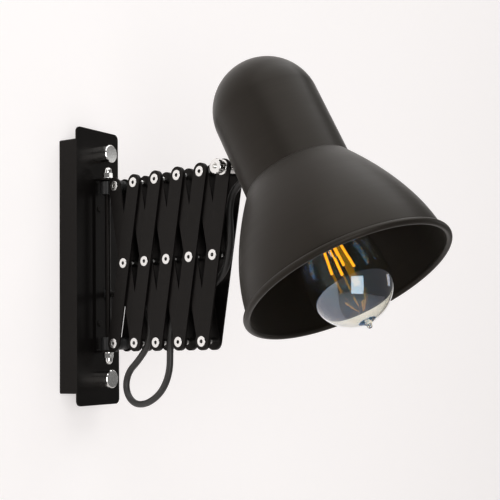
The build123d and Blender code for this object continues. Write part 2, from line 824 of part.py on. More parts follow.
holder_bore = holder_shell_radius - holder_wall
with BuildPart() as lampholder:
    with BuildSketch(head_side):
        with BuildLine():
            Polyline(
                (nipple_diameter / 2 + bore_clearance, holder_top),
                (holder_shoulder_radius, holder_top),
                (holder_shell_radius, holder_top - holder_shoulder),
                (holder_shell_radius, holder_mouth),
                (holder_bore, holder_mouth),
                (holder_bore, holder_top - holder_shoulder - holder_wall),
                (nipple_diameter / 2 + bore_clearance, holder_top - holder_shoulder - holder_wall),
                close=True,
            )
        make_face()
    revolve(axis=head_axis)
save(lampholder.part, "lampholder")

with BuildPart() as holder_ring:
    with BuildSketch(head_level.offset(holder_mouth + holder_ring_height)):
        Circle(holder_ring_radius)
        Circle(holder_shell_radius + bore_clearance, mode=Mode.SUBTRACT)
        with PolarLocations(holder_ring_radius, holder_ring_count):
            Circle(0.9, mode=Mode.SUBTRACT)
    extrude(amount=holder_ring_height)
save(holder_ring.part, "holder_ring")

# ================================================================ bulb
cap_top = holder_top - bulb_seat_depth
bulb_tip = bulb_length - cap_top
cap_foot = cap_top - bulb_cap_length
with BuildPart() as socket_shell:
    with BuildSketch(head_level.offset(holder_mouth + socket_inset)):
        Circle(holder_bore - bore_clearance)
        Circle(bulb_cap_radius + 2 * bore_clearance, mode=Mode.SUBTRACT)
    extrude(amount=cap_top + socket_above_cap - holder_mouth - socket_inset)
save(socket_shell.part, "socket_shell")

with BuildPart() as bulb_cap:
    with BuildSketch(head_side):
        with BuildLine():
            Polyline(
                (0, cap_foot),
                (bulb_cap_radius, cap_foot),
                (bulb_cap_radius, cap_top - 7),
                (bulb_contact_radius + 2, cap_top - 2),
                (bulb_contact_radius, cap_top - 2),
                (bulb_contact_radius, cap_top),
                (0, cap_top),
                close=True,
            )
        make_face()
    revolve(axis=head_axis)
save(bulb_cap.part, "bulb_cap")


def bulb_outline(inset):
    """The bulb's half outline: a round end, long tapering sides and a narrow throat."""
    centre = bulb_radius - bulb_tip
    radius = bulb_radius - inset
    bend = math.radians(20)
    shoulder_point = (radius * math.cos(bend), centre + radius * math.sin(bend))
    throat = (bulb_cap_throat - inset, cap_foot - seat_play)
    taper = (bulb_neck_radius - inset, cap_foot - 12)
    return centre, radius, shoulder_point, taper, throat, bend


with BuildPart() as bulb_glass:
    with BuildSketch(head_side):
        for inset, mode in ((0, Mode.ADD), (bulb_wall, Mode.SUBTRACT)):
            centre, radius, shoulder_point, taper, throat, bend = bulb_outline(inset)
            with BuildLine():
                start = (0, centre - radius)
                end_arc = ThreePointArc(
                    start,
                    (radius * math.cos(math.radians(-45)), centre - radius * math.sin(math.radians(45))),
                    shoulder_point,
                )
                side_curve = TangentArc(
                    shoulder_point, taper, tangent=(-math.sin(bend), math.cos(bend))
                )
                TangentArc(taper, throat, tangent=side_curve % 1)
                Polyline(throat, (0, throat[1]), start)
            make_face(mode=mode)
    revolve(axis=head_axis)
save(bulb_glass.part, "bulb_glass")

stem_top = cap_foot - bulb_wall - 4 * seat_play
with BuildPart() as bulb_stem:
    with BuildSketch(head_side):
        with BuildLine():
            Polyline(
                (0, stem_top),
                (stem_radius + 3, stem_top),
                (stem_radius, stem_top - 8),
                (stem_tip_radius, stem_top - stem_length),
                (stem_rod_radius, stem_top - stem_length),
                (stem_rod_radius, stem_top - stem_length - stem_rod_length),
                (0, stem_top - stem_length - stem_rod_length),
                close=True,
            )
        make_face()
    revolve(axis=head_axis)
save(bulb_stem.part, "bulb_stem")

filament_top = stem_top - stem_length + filament_overlap
filament_gather = stem_tip_radius + filament_clearance + filament_radius
with BuildPart() as filaments:
    for turn in range(filament_count):
        angle = 2 * math.pi * (turn + 0.5) / filament_count
        top_spot = head_level.from_local_coords(
            Vector(
                filament_gather * math.cos(angle), filament_gather * math.sin(angle), filament_top
            )
        )
        low_spot = head_level.from_local_coords(
            Vector(
                filament_spread * math.cos(angle),
                filament_spread * math.sin(angle),
                filament_top - filament_length,
            )
        )
        with BuildSketch(Plane(origin=top_spot, z_dir=low_spot - top_spot)):
            Circle(filament_radius)
        extrude(amount=(low_spot - top_spot).length)
save(filaments.part, "filaments")

grommet_sag = neck_inner - math.sqrt(neck_inner**2 - (grommet_flange / 2) ** 2) + seat_play
with BuildPart() as head_grommet:
    add(grommet(entry_plane, neck_wall + grommet_sag))
save(head_grommet.part, "head_grommet")

# ================================================================ cord
cord_route = [
    Vector(cord_exit_x, -13, cord_exit_z),
    Vector(cord_exit_x, -31, cord_exit_z),
    arm_point(12.5, -28, -4.7),
    arm_point(32, -33.5, -0.3),
    arm_point(50, -39.5, 0.6),
    arm_point(57, -55, 0.4),
    arm_point(52, -73),
    arm_point(38, -86.5, -0.3),
    arm_point(27, -95),
    arm_point(22.8, -107, 0.2),
    arm_point(27, -118, 0.3),
    arm_point(37.5, -124, 0.4),
    arm_point(53, -122, 0.2),
    arm_point(69, -112),
    arm_point(78, -96, -0.2),
    arm_point(79, -78),
    arm_point(79.5, -60.5),
    arm_point(85, -45),
    arm_point(98, -34),
    arm_point(114, -29),
    arm_point(130, -25),
    arm_point(143.5, -14.5),
    arm_point(149.5, 2.5),
    arm_point(150.5, 20),
    arm_point(149.3, 37.5),
    arm_point(155, 54.5),
    head_point(-neck_radius + 10, cord_entry_height),
]


def cord_radii(points):
    """The largest bend at each corner that its two straight runs leave room for."""
    radii = []
    for before, corner, after in zip(points, points[1:], points[2:]):
        turn = (corner - before).get_angle(after - corner)
        run = min((corner - before).length, (after - corner).length)
        radii.append(0.45 * run / math.tan(math.radians(turn / 2)))
    return radii


bend_radii = cord_radii(cord_route)
with BuildPart() as cord:
    with BuildLine() as cord_path:
        FilletPolyline(*cord_route, radius=bend_radii)
    with BuildSketch(Plane(origin=cord_path.line @ 0, z_dir=cord_path.line % 0)):
        Circle(cord_diameter / 2)
    sweep()
save(cord.part, "cord")

print("cord bends", [round(radius, 1) for radius in bend_radii])
cord_length = sum(edge.length for edge in cord_path.edges())
print("cord length", round(cord_length, 1))
print("cord volume", round(cord.part.volume, 1))
print("cord section times length", round(math.pi * cord_diameter**2 / 4 * cord_length, 1))
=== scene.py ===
"""Accordion wall lamp: the visible surfaces, the finishes, the light and the view.

The frame is the lamp's own: origin at the middle of the back face on the wall, the wall
in the plane Y = 0, the lamp reaching out along -Y, +Z up, everything in metres.
"""
import logging
import math
from dataclasses import dataclass, field
from enum import Enum

import bmesh
import bpy
import numpy as np
from mathutils import Matrix, Vector


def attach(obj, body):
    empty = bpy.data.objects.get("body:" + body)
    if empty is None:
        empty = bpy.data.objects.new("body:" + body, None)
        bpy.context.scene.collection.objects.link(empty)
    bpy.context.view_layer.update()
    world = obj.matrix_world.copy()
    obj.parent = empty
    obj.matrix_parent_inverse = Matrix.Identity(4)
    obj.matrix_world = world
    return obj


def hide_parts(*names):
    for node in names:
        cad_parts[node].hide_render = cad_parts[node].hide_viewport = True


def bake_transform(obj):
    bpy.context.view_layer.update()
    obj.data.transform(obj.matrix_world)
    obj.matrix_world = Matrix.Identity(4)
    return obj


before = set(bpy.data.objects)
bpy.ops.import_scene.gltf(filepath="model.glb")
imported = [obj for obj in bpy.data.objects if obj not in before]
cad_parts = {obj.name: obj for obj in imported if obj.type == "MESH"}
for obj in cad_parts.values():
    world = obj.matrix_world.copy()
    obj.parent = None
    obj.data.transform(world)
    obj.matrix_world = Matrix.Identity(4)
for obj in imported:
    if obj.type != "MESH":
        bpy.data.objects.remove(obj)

log = logging.getLogger("wall_lamp")
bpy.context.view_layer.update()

# A point, a direction or a colour; a low and a high value; a node's socket.
Triple = tuple[float, float, float]
Pair = tuple[float, float]
Socket = bpy.types.NodeSocket

FULL_TURN = 2 * math.pi
QUARTER_TURN = math.pi / 2


# ------------------------------------------------------------------ places on the lamp
@dataclass(frozen=True)
class ArmFrame:
    """The arm's own directions: out from the rod, up, and across to the near side."""

    swivel: float = math.radians(9.0)
    rod: Triple = (0.0, -0.0324, 0.0)
    half_row: float = 0.0702149
    first_pivot: float = 0.0165
    cell: float = 0.0269921
    cells: int = 5

    @property
    def out(self) -> np.ndarray:
        """Direction in which the arm reaches out from the rod."""
        return np.array((-math.sin(self.swivel), -math.cos(self.swivel), 0.0))

    @property
    def near(self) -> np.ndarray:
        """Direction across the arm, to the side that the thumb nut is on."""
        return np.array((-math.cos(self.swivel), math.sin(self.swivel), 0.0))

    def place(self, out: float, up: float, near: float = 0.0) -> np.ndarray:
        """A point of the arm.

        Args:
            out: Distance from the rod's axis, in metres.
            up: Height above the lamp's middle.
            near: Distance from the arm's middle plane to the near side.

        Returns:
            The point in the lamp's frame.
        """
        return np.array(self.rod) + self.out * out + self.near * near + np.array((0, 0, up))


@dataclass(frozen=True)
class HeadFrame:
    """The shade's own directions: up along its axis from the mouth, and away from the wall."""

    arm: ArmFrame = ArmFrame()
    tilt: float = math.radians(28.5)
    reach: float = 0.05515
    stub_height: float = 0.1426

    @property
    def axis(self) -> np.ndarray:
        """Direction along the shade's axis, from the mouth to the dome."""
        return np.array((0, 0, 1)) * math.cos(self.tilt) - self.arm.out * math.sin(self.tilt)

    @property
    def away(self) -> np.ndarray:
        """Direction square to the axis, away from the wall."""
        return self.arm.out * math.cos(self.tilt) + np.array((0, 0, 1)) * math.sin(self.tilt)

    @property
    def mouth(self) -> np.ndarray:
        """Middle of the shade's mouth."""
        pivot = self.arm.place(
            self.arm.first_pivot + self.arm.cells * self.arm.cell, self.arm.half_row
        )
        return pivot + self.away * self.reach - self.axis * self.stub_height

    def place(self, radius: float, height: float) -> np.ndarray:
        """A point at a radius away from the wall and a height above the mouth."""
        return self.mouth + self.away * radius + self.axis * height


ARM = ArmFrame()
HEAD = HeadFrame()


# ------------------------------------------------------------------ finishes
class Nodes:
    """A material's node tree with short ways to add and join nodes."""

    def __init__(self, name: str) -> None:
        """Start an empty material with one output and one main shader."""
        self.material = bpy.data.materials.new(name)
        self.material.use_nodes = True
        self.tree = self.material.node_tree
        self.tree.nodes.clear()
        self.output = self.tree.nodes.new("ShaderNodeOutputMaterial")
        self.shader = self.tree.nodes.new("ShaderNodeBsdfPrincipled")
        self.join(self.shader.outputs["BSDF"], self.output.inputs["Surface"])

    def add(self, kind: str, **settings: object) -> bpy.types.Node:
        """Add a node.

        Args:
            kind: The node's type name after "ShaderNode".
            settings: Attributes of the node, or values of its inputs where an input
                has that name with spaces in place of underscores.

        Returns:
            The new node.
        """
        node = self.tree.nodes.new("ShaderNode" + kind)
        for key, value in settings.items():
            title = key.replace("_", " ").title()
            if hasattr(node, key):
                setattr(node, key, value)
            else:
                node.inputs[title].default_value = value
        return node

    def join(self, source: Socket, target: Socket) -> None:
        """Link an output to an input."""
        self.tree.links.new(source, target)

    def shade(self, **values: object) -> None:
        """Set values on the main shader's own sockets by their names in lower case."""
        for key, value in values.items():
            title = key.replace("_", " ").title().replace("Ior", "IOR")
            self.shader.inputs[title].default_value = value

    def object_place(self) -> Socket:
        """The piece's own coordinates."""
        return self.add("TexCoord").outputs["Object"]

    def noise(self, place: Socket, scale: float, detail: float) -> Socket:
        """A noise pattern of 0 to 1.

        Args:
            place: The coordinates that it is read at.
            scale: Its fineness, as waves per metre.
            detail: How many finer layers it has.

        Returns:
            The pattern's output.
        """
        pattern = self.add("TexNoise", scale=scale, detail=detail)
        self.join(place, pattern.inputs["Vector"])
        return pattern.outputs["Fac"]

    def drive(self, title: str, source: Socket, low: float, high: float) -> None:
        """Drive one of the main shader's inputs from a pattern, between two values."""
        spread = self.add("MapRange", to_min=low, to_max=high)
        self.join(source, spread.inputs["Value"])
        self.join(spread.outputs["Result"], self.shader.inputs[title])

    def tint(self, source: Socket, dark: Triple, light: Triple) -> None:
        """Drive the base colour from a pattern, between two colours."""
        mix = self.add("Mix", data_type="RGBA")
        factor, first, second = (mix.inputs[slot] for slot in (0, 6, 7))
        first.default_value = (*dark, 1)
        second.default_value = (*light, 1)
        self.join(source, factor)
        self.join(mix.outputs[2], self.shader.inputs["Base Color"])

    def bump(self, source: Socket, depth: float, strength: float) -> None:
        """Turn a pattern into surface relief of a depth in metres."""
        relief = self.add("Bump", strength=strength, distance=depth)
        self.join(source, relief.inputs["Height"])
        self.join(relief.outputs["Normal"], self.shader.inputs["Normal"])


@dataclass(frozen=True)
class SatinLacquer:
    """Sprayed satin black lacquer on steel: cloudy, with a faint orange peel."""

    name: str = "satin_black_lacquer"
    dark: Triple = (0.0030, 0.0026, 0.0025)
    light: Triple = (0.0052, 0.0045, 0.0043)
    roughness: Pair = (0.33, 0.45)
    cloud_scale: float = 45.0
    peel_scale: float = 900.0
    peel_depth: float = 0.00004
    peel_strength: float = 0.35
    gloss: float = 0.15
    gloss_tint: Triple = (1.0, 0.93, 0.86)

    def build(self) -> bpy.types.Material:
        """Make the material."""
        n = Nodes(self.name)
        at = n.object_place()
        cloud = n.noise(at, self.cloud_scale, 4.0)
        n.tint(cloud, self.dark, self.light)
        n.drive("Roughness", cloud, *self.roughness)
        n.bump(n.noise(at, self.peel_scale, 3.0), self.peel_depth, self.peel_strength)
        n.shade(specular_ior_level=self.gloss, specular_tint=(*self.gloss_tint, 1))
        return n.material


@dataclass(frozen=True)
class SpunLacquer:
    """Matt black lacquer over spun metal: fine rings run round the shade's axis.

    The noise is read at the height along the axis, so that it forms rings, with a small
    share of the true place added, so that they waver.
    """

    name: str = "spun_black_lacquer"
    dark: Triple = (0.0095, 0.0078, 0.0060)
    light: Triple = (0.0155, 0.0128, 0.0100)
    roughness: Pair = (0.31, 0.45)
    ring_scale: float = 1500.0
    ring_depth: float = 0.00003
    ring_strength: float = 0.5
    band_scale: float = 250.0
    waver: float = 0.012
    gloss: float = 0.20
    gloss_tint: Triple = (1.0, 0.92, 0.84)
    sheen: float = 0.05
    sheen_roughness: float = 0.45
    sheen_tint: Triple = (1.0, 0.95, 0.86)

    def ring_place(self, n: Nodes) -> Socket:
        """The coordinates that make rings of a noise."""
        at = n.object_place()
        height = n.add("VectorMath", operation="DOT_PRODUCT")
        height.inputs[1].default_value = tuple(HEAD.axis)
        upright = n.add("CombineXYZ")
        slight = n.add("VectorMath", operation="SCALE", scale=self.waver)
        both = n.add("VectorMath", operation="ADD")
        n.join(at, height.inputs[0])
        n.join(height.outputs["Value"], upright.inputs["Z"])
        n.join(at, slight.inputs[0])
        n.join(upright.outputs["Vector"], both.inputs[0])
        n.join(slight.outputs["Vector"], both.inputs[1])
        return both.outputs["Vector"]

    def build(self) -> bpy.types.Material:
        """Make the material."""
        n = Nodes(self.name)
        at = self.ring_place(n)
        rings = n.noise(at, self.ring_scale, 4.0)
        n.tint(rings, self.dark, self.light)
        n.drive("Roughness", n.noise(at, self.band_scale, 2.0), *self.roughness)
        n.bump(rings, self.ring_depth, self.ring_strength)
        n.shade(
            specular_ior_level=self.gloss,
            specular_tint=(*self.gloss_tint, 1),
            sheen_weight=self.sheen,
            sheen_roughness=self.sheen_roughness,
            sheen_tint=(*self.sheen_tint, 1),
        )
        return n.material


@dataclass(frozen=True)
class PolishedPlate:
    """Bright plated metal with faint polishing haze."""

    name: str = "polished_plate"
    color: Triple = (0.86, 0.85, 0.83)
    roughness: float = 0.13
    haze: float = 0.06
    haze_scale: float = 420.0
    haze_depth: float = 0.00001
    haze_strength: float = 0.2

    def build(self) -> bpy.types.Material:
        """Make the material."""
        n = Nodes(self.name)
        cloud = n.noise(n.object_place(), self.haze_scale, 4.0)
        n.drive("Roughness", cloud, self.roughness - self.haze, self.roughness + self.haze)
        n.bump(cloud, self.haze_depth, self.haze_strength)
        n.shade(base_color=(*self.color, 1), metallic=1.0)
        return n.material


@dataclass(frozen=True)
class MouldedPlastic:
    """Moulded plastic or rubber with a fine matt grain."""

    name: str
    dark: Triple
    light: Triple
    roughness: float
    roughness_spread: float = 0.06
    cloud_scale: float = 70.0
    grain_scale: float = 1600.0
    grain_depth: float = 0.00003
    grain_strength: float = 0.4

    def build(self) -> bpy.types.Material:
        """Make the material."""
        n = Nodes(self.name)
        at = n.object_place()
        grain = n.noise(at, self.grain_scale, 2.0)
        n.tint(n.noise(at, self.cloud_scale, 3.0), self.dark, self.light)
        n.drive(
            "Roughness",
            grain,
            self.roughness - self.roughness_spread,
            self.roughness + self.roughness_spread,
        )
        n.bump(grain, self.grain_depth, self.grain_strength)
        return n.material


@dataclass(frozen=True)
class LustreGlass:
    """Thin blown glass, clear or with a lustre film that tints what it reflects."""

    name: str
    color: Triple
    film: float
    film_index: float = 1.9
    index: float = 1.5
    wave_scale: float = 18.0
    wave_depth: float = 0.0002
    wave_strength: float = 0.25

    def build(self) -> bpy.types.Material:
        """Make the material; slow waves in the glass bend what is seen through it."""
        n = Nodes(self.name)
        waves = n.noise(n.object_place(), self.wave_scale, 1.0)
        n.bump(waves, self.wave_depth, self.wave_strength)
        n.shade(
            base_color=(*self.color, 1),
            roughness=0.0,
            transmission_weight=1.0,
            ior=self.index,
            thin_film_thickness=self.film,
            thin_film_ior=self.film_index,
        )
        return n.material


@dataclass(frozen=True)
class GlowingStrip:
    """A lit filament: a yellow coating that glows unevenly along the strip."""

    name: str = "filament_glow"
    color: Triple = (1.0, 0.44, 0.02)
    strength: float = 1.25
    unevenness: float = 0.3
    bead_scale: float = 600.0

    def build(self) -> bpy.types.Material:
        """Make the material; small beads of brighter coating run along the strip."""
        n = Nodes(self.name)
        n.drive(
            "Emission Strength",
            n.noise(n.object_place(), self.bead_scale, 1.0),
            self.strength * (1 - self.unevenness),
            self.strength * (1 + self.unevenness),
        )
        n.shade(base_color=(*self.color, 1), roughness=0.5, emission_color=(*self.color, 1))
        return n.material


class Finish(Enum):
    """Every finish on the lamp, each with the maker of its material."""

    LACQUER = SatinLacquer()
    SPUN = SpunLacquer()
    PLATED = PolishedPlate()
    ZINC = PolishedPlate("zinc_plate", (0.55, 0.55, 0.54), 0.34, 0.08)
    BRASS = PolishedPlate("plain_brass", (0.78, 0.60, 0.30), 0.26, 0.08)
    NYLON = MouldedPlastic("black_nylon", (0.010, 0.010, 0.010), (0.018, 0.018, 0.018), 0.38)
    SHEATH = MouldedPlastic("cord_sheath", (0.016, 0.015, 0.014), (0.030, 0.028, 0.026), 0.45)
    RUBBER = MouldedPlastic("matt_rubber", (0.012, 0.012, 0.012), (0.022, 0.022, 0.022), 0.6)
    PHENOLIC = MouldedPlastic(
        "black_phenolic", (0.012, 0.011, 0.010), (0.02, 0.018, 0.016), 0.25
    )
    PALE = MouldedPlastic("pale_nylon", (0.62, 0.60, 0.55), (0.74, 0.72, 0.66), 0.4)
    LUSTRE = LustreGlass("gold_lustre_glass", (1.0, 0.99, 0.94), 181.0)
    STEM_GLASS = LustreGlass("stem_glass", (0.96, 0.98, 0.96), 0.0)
    GLOW = GlowingStrip()

    def material(self) -> bpy.types.Material:
        """The finish's material, made once."""
        return bpy.data.materials.get(self.value.name) or self.value.build()


# ------------------------------------------------------------------ surfaces
GRID_MERGE = 1e-7
NODE_MERGE = 2e-6
NODE_SHARP_DEGREES = 35.0
FLAT_DEGREES = 0.5
BEVEL_DEGREES = 45.0
BEVEL_SEGMENTS = 2


def painted(
    name: str, mesh: bpy.types.Mesh, finish: Finish, sharp: float
) -> bpy.types.Object:
    """Smooth a mesh, give it its finish and put it in the scene.

    Args:
        name: The object's name.
        mesh: The mesh, which is changed.
        finish: The finish it gets.
        sharp: Angle in degrees from which an edge is shown sharp.

    Returns:
        The new object.
    """
    mesh.polygons.foreach_set("use_smooth", np.ones(len(mesh.polygons), bool))
    mesh.set_sharp_from_angle(angle=math.radians(sharp))
    mesh.materials.clear()
    mesh.materials.append(finish.material())
    thing = bpy.data.objects.new(name, mesh)
    bpy.context.collection.objects.link(thing)
    return thing


def piece_from_grid(
    name: str, points: np.ndarray, finish: Finish, sharp: float, caps: bool = False
) -> bpy.types.Object:
    """A surface from a grid of points whose last column joins the first.

    Args:
        name: The piece's name.
        points: An array of rows by columns by 3.
        finish: The finish it gets.
        sharp: Angle in degrees from which an edge is shown sharp.
        caps: Whether the first and last rows are closed by a face.

    Returns:
        The new object, with its faces pointing outwards.
    """
    rows, columns = points.shape[:2]
    index = np.arange(rows * columns).reshape(rows, columns)
    right = np.roll(index, -1, axis=1)
    quads = np.stack((index[:-1], right[:-1], right[1:], index[1:]), axis=-1).reshape(-1, 4)
    faces = quads.tolist()
    if caps:
        faces += [index[0, ::-1].tolist(), index[-1].tolist()]
    mesh = bpy.data.meshes.new(name)
    mesh.from_pydata(points.reshape(-1, 3).tolist(), [], faces)
    work = bmesh.new()
    work.from_mesh(mesh)
    bmesh.ops.remove_doubles(work, verts=work.verts, dist=GRID_MERGE)
    bmesh.ops.recalc_face_normals(work, faces=work.faces)
    work.to_mesh(mesh)
    work.free()
    return painted(name, mesh, finish, sharp)


def turned(
    name: str, profile: np.ndarray, finish: Finish, sides: int, sharp: float = 40.0
) -> bpy.types.Object:
    """A surface of revolution round the shade's axis.

    The point at turn a of profile point (r, h) is mouth + axis * h + (away * cos a +
    near * sin a) * r. A closed profile makes a closed ring, and a radius of 0 a pole.

    Args:
        name: The piece's name.
        profile: An array of (radius, height) rows, in metres.
        finish: The finish it gets.
        sides: Steps round the axis.
        sharp: Angle in degrees from which an edge is shown sharp.

    Returns:
        The new object.
    """
    turn = np.linspace(0, FULL_TURN, sides, endpoint=False)
    ring = np.outer(np.cos(turn), HEAD.away) + np.outer(np.sin(turn), ARM.near)
    points = (
        HEAD.mouth
        + profile[:, None, 1:2] * HEAD.axis
        + profile[:, None, 0:1] * ring[None, :, :]
    )
    return piece_from_grid(name, points, finish, sharp)


def dress_node(node: str, body: str, finish: Finish, edge: float = 0.0) -> None:
    """Stand in for a node with its own mesh, merged, finished and with softened edges.

    Args:
        node: The node's name.
        body: The body that it rides on.
        finish: The finish it gets.
        edge: Width of the small bevel on its sharp edges, or 0.
    """
    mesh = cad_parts[node].data.copy()
    work = bmesh.new()
    work.from_mesh(mesh)
    bmesh.ops.remove_doubles(work, verts=work.verts, dist=NODE_MERGE)
    bmesh.ops.dissolve_limit(
        work, angle_limit=math.radians(FLAT_DEGREES), verts=work.verts, edges=work.edges
    )
    work.to_mesh(mesh)
    work.free()
    thing = painted(node + "_finished", mesh, finish, NODE_SHARP_DEGREES)
    if edge:
        soft = thing.modifiers.new("edges", "BEVEL")
        soft.width = edge
        soft.segments = BEVEL_SEGMENTS
        soft.limit_method = "ANGLE"
        soft.angle_limit = math.radians(BEVEL_DEGREES)
        soft.harden_normals = False
    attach(thing, body)
    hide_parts(node)


# ------------------------------------------------------------------ the view
@dataclass(frozen=True)
class Softbox:
    """One rectangular light that faces a point."""

    name: str
    place: Triple
    target: Triple
    size: Pair
    power: float

    def build(self) -> None:
        """Add the light."""
        data = bpy.data.lights.new(self.name, "AREA")
        data.shape = "RECTANGLE"
        data.size, data.size_y = self.size
        data.energy = self.power
        light = bpy.data.objects.new(self.name, data)
        light.location = self.place
        toward = Vector(self.target) - Vector(self.place)
        light.rotation_euler = toward.to_track_quat("-Z", "Y").to_euler()
        bpy.context.collection.objects.link(light)


@dataclass
class Studio:
    """The camera at the photograph's place, a pale wall and floor, and soft light."""

    eye: Triple = (-0.764376, -0.669742, -0.076811)
    right: Triple = (0.53706974, -0.84337383, -0.01663369)
    up: Triple = (-0.06673302, -0.06213696, 0.99583417)
    forward: Triple = (0.84089405, 0.53372239, 0.08965276)
    lens: float = 78.92
    sensor: float = 36.0
    near_clip: float = 0.01
    half_wall: float = 3.0
    floor_height: float = -1.3
    wall_color: Triple = (0.60, 0.585, 0.58)
    wall_glow: float = 0.53
    floor_glow: float = 0.0
    glow_color: Triple = (1.0, 0.96, 0.95)
    paint_scale: float = 3.0
    paint_lift: float = 1.015
    paint_roughness: float = 0.9
    paint_gloss: float = 0.1
    world_color: Triple = (1.0, 0.985, 0.975)
    world_strength: float = 0.16
    softboxes: tuple[Softbox, ...] = (
        Softbox("soft_ceiling", (-0.2, -1.35, 2.2), (-0.2, -1.35, 0.0), (4.4, 2.6), 68.0),
        Softbox("window_right", (1.7, -1.25, 0.2), (-0.03, -0.2, 0.02), (0.5, 0.5), 1.0),
        Softbox(
            "window_behind", (-1.14, -1.47, -0.14), (-0.04, -0.3, -0.03), (0.95, 1.35), 13.0
        ),
    )

    def camera(self) -> None:
        """Set the camera from its three directions and its eye point."""
        data = bpy.data.cameras.new("view")
        data.sensor_width = self.sensor
        data.lens = self.lens
        data.clip_start = self.near_clip
        camera = bpy.data.objects.new("view", data)
        turn = Matrix((self.right, self.up, -Vector(self.forward))).transposed()
        camera.matrix_world = Matrix.Translation(self.eye) @ turn.to_4x4()
        bpy.context.collection.objects.link(camera)
        bpy.context.scene.camera = camera

    def pale_surface(self, name: str, glow: float) -> bpy.types.Material:
        """A flat pale paint for the wall or the floor.

        Args:
            name: The material's name.
            glow: Light that the surface gives off by itself, which evens it out.

        Returns:
            The new material.
        """
        n = Nodes(name)
        cloud = n.noise(n.object_place(), self.paint_scale, 3.0)
        n.tint(cloud, self.wall_color, tuple(c * self.paint_lift for c in self.wall_color))
        n.shade(
            roughness=self.paint_roughness,
            specular_ior_level=self.paint_gloss,
            emission_color=(*self.glow_color, 1),
            emission_strength=glow,
        )
        return n.material

    def backdrop(self) -> None:
        """A flat pale wall behind the lamp and a floor far below it."""
        half, low = self.half_wall, self.floor_height
        surfaces = {
            "wall_backdrop": (
                [(-half, 0, low), (half, 0, low), (half, 0, half), (-half, 0, half)],
                self.pale_surface("pale_wall", self.wall_glow),
            ),
            "floor_backdrop": (
                [(-half, -half, low), (half, -half, low), (half, 0, low), (-half, 0, low)],
                self.pale_surface("pale_floor", self.floor_glow),
            ),
        }
        for name, (points, material) in surfaces.items():
            mesh = bpy.data.meshes.new(name)
            mesh.from_pydata(points, [], [(0, 1, 2, 3)])
            mesh.materials.append(material)
            thing = bpy.data.objects.new(name, mesh)
            bpy.context.collection.objects.link(thing)

    def lights(self) -> None:
        """Dim room light, a bright soft ceiling and two windows for the metal and the bell."""
        world = bpy.data.worlds.new("room")
        world.use_nodes = True
        background = world.node_tree.nodes["Background"]
        background.inputs["Color"].default_value = (*self.world_color, 1)
        background.inputs["Strength"].default_value = self.world_strength
        bpy.context.scene.world = world
        for softbox in self.softboxes:
            softbox.build()

    def build(self) -> None:
        """Make the whole studio; plain colour handling keeps the wall near white."""
        bpy.context.scene.view_settings.view_transform = "Standard"
        self.camera()
        self.backdrop()
        self.lights()
        log.info("studio: camera, wall, floor and lights")


